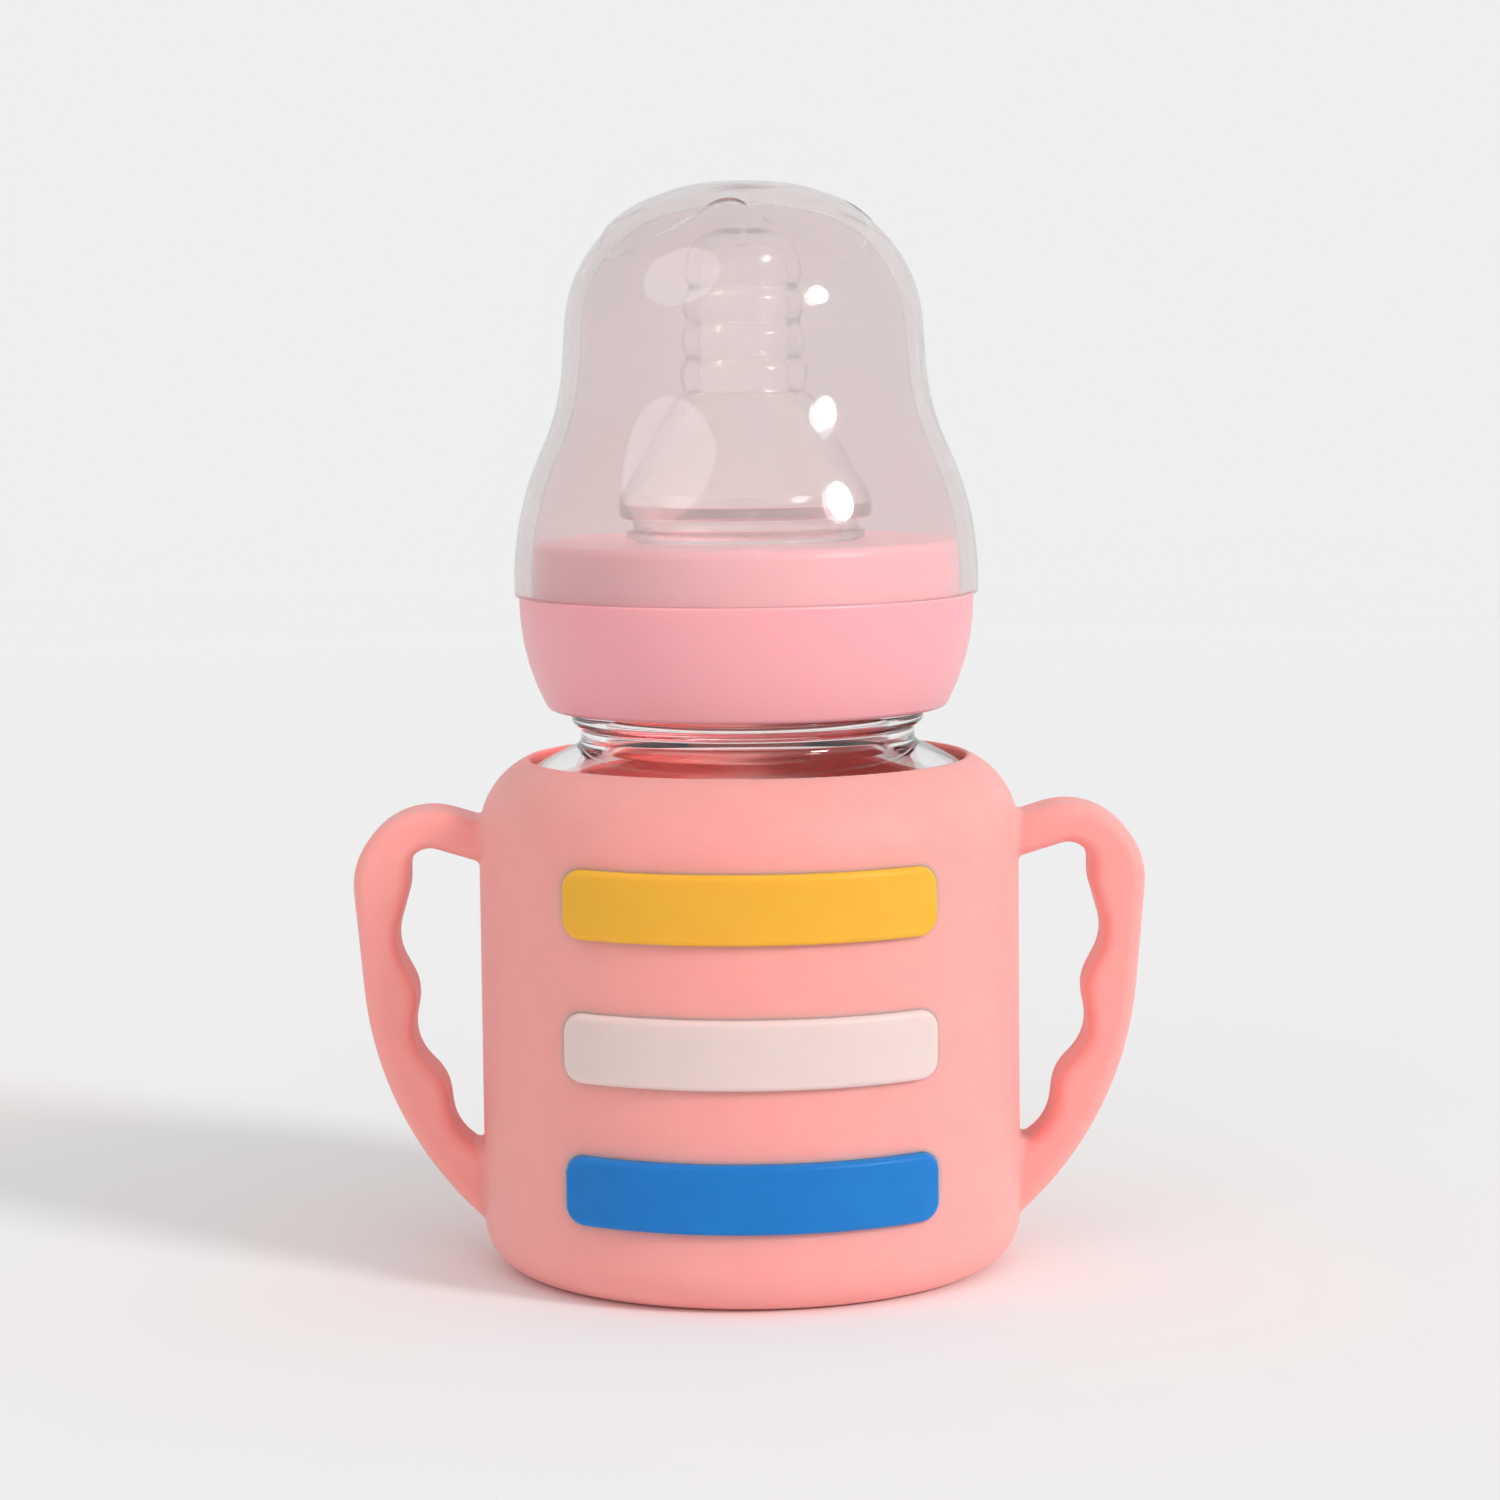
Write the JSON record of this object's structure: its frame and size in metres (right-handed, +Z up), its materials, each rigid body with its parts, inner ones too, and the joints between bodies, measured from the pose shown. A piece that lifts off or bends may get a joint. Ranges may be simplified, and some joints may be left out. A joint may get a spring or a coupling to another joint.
{
  "type": "baby bottle",
  "caption": "Small glass feeding bottle in a two-handled silicone sleeve with coloured bars, closed by a screw collar, ribbed teat and hood cap.",
  "frame": {"origin": "middle of the sleeve's flat base, on the surface the bottle stands on", "axes": "+Z up along the bottle's axis, the front with the coloured bars faces -Y, the handles lie along X"},
  "size_m": [0.0848, 0.0592, 0.1161],
  "materials": {
    "clear_glass": "clear, fire-polished",
    "pink_silicone": "matte moulded silicone",
    "yellow_silicone": "satin moulded silicone",
    "white_silicone": "satin moulded silicone",
    "blue_silicone": "satin moulded silicone",
    "clear_silicone": "clear moulded silicone, smooth",
    "pink_plastic": "smooth polypropylene, satin",
    "frosted_plastic": "translucent polypropylene, smooth"
  },
  "bodies": {
    "bottle": {"glass_bottle": "clear_glass", "grip_sleeve": "pink_silicone", "yellow_bar": "yellow_silicone", "white_bar": "white_silicone", "blue_bar": "blue_silicone"},
    "teat": {"teat": "clear_silicone"},
    "collar": {"screw_collar": "pink_plastic"},
    "cap": {"hood_cap": "frosted_plastic"}
  },
  "joints": [
    {"name": "teat_lift", "type": "slide", "parent": "bottle", "child": "teat", "axis": [0, 0, 1], "range_m": [0, 0.00675]},
    {"name": "collar_turn", "type": "hinge", "parent": "teat", "child": "collar", "pos_m": [0, 0, 0.0692], "axis": [0, 0, 1], "range_deg": [0, 540]},
    {"name": "cap_pull", "type": "slide", "parent": "collar", "child": "cap", "axis": [0, 0, 1], "range_m": [0, 0.05]}
  ],
  "couplings": [
    {"joint": "teat_lift", "follows": "collar_turn", "m_per_rad": 0.000716}
  ]
}
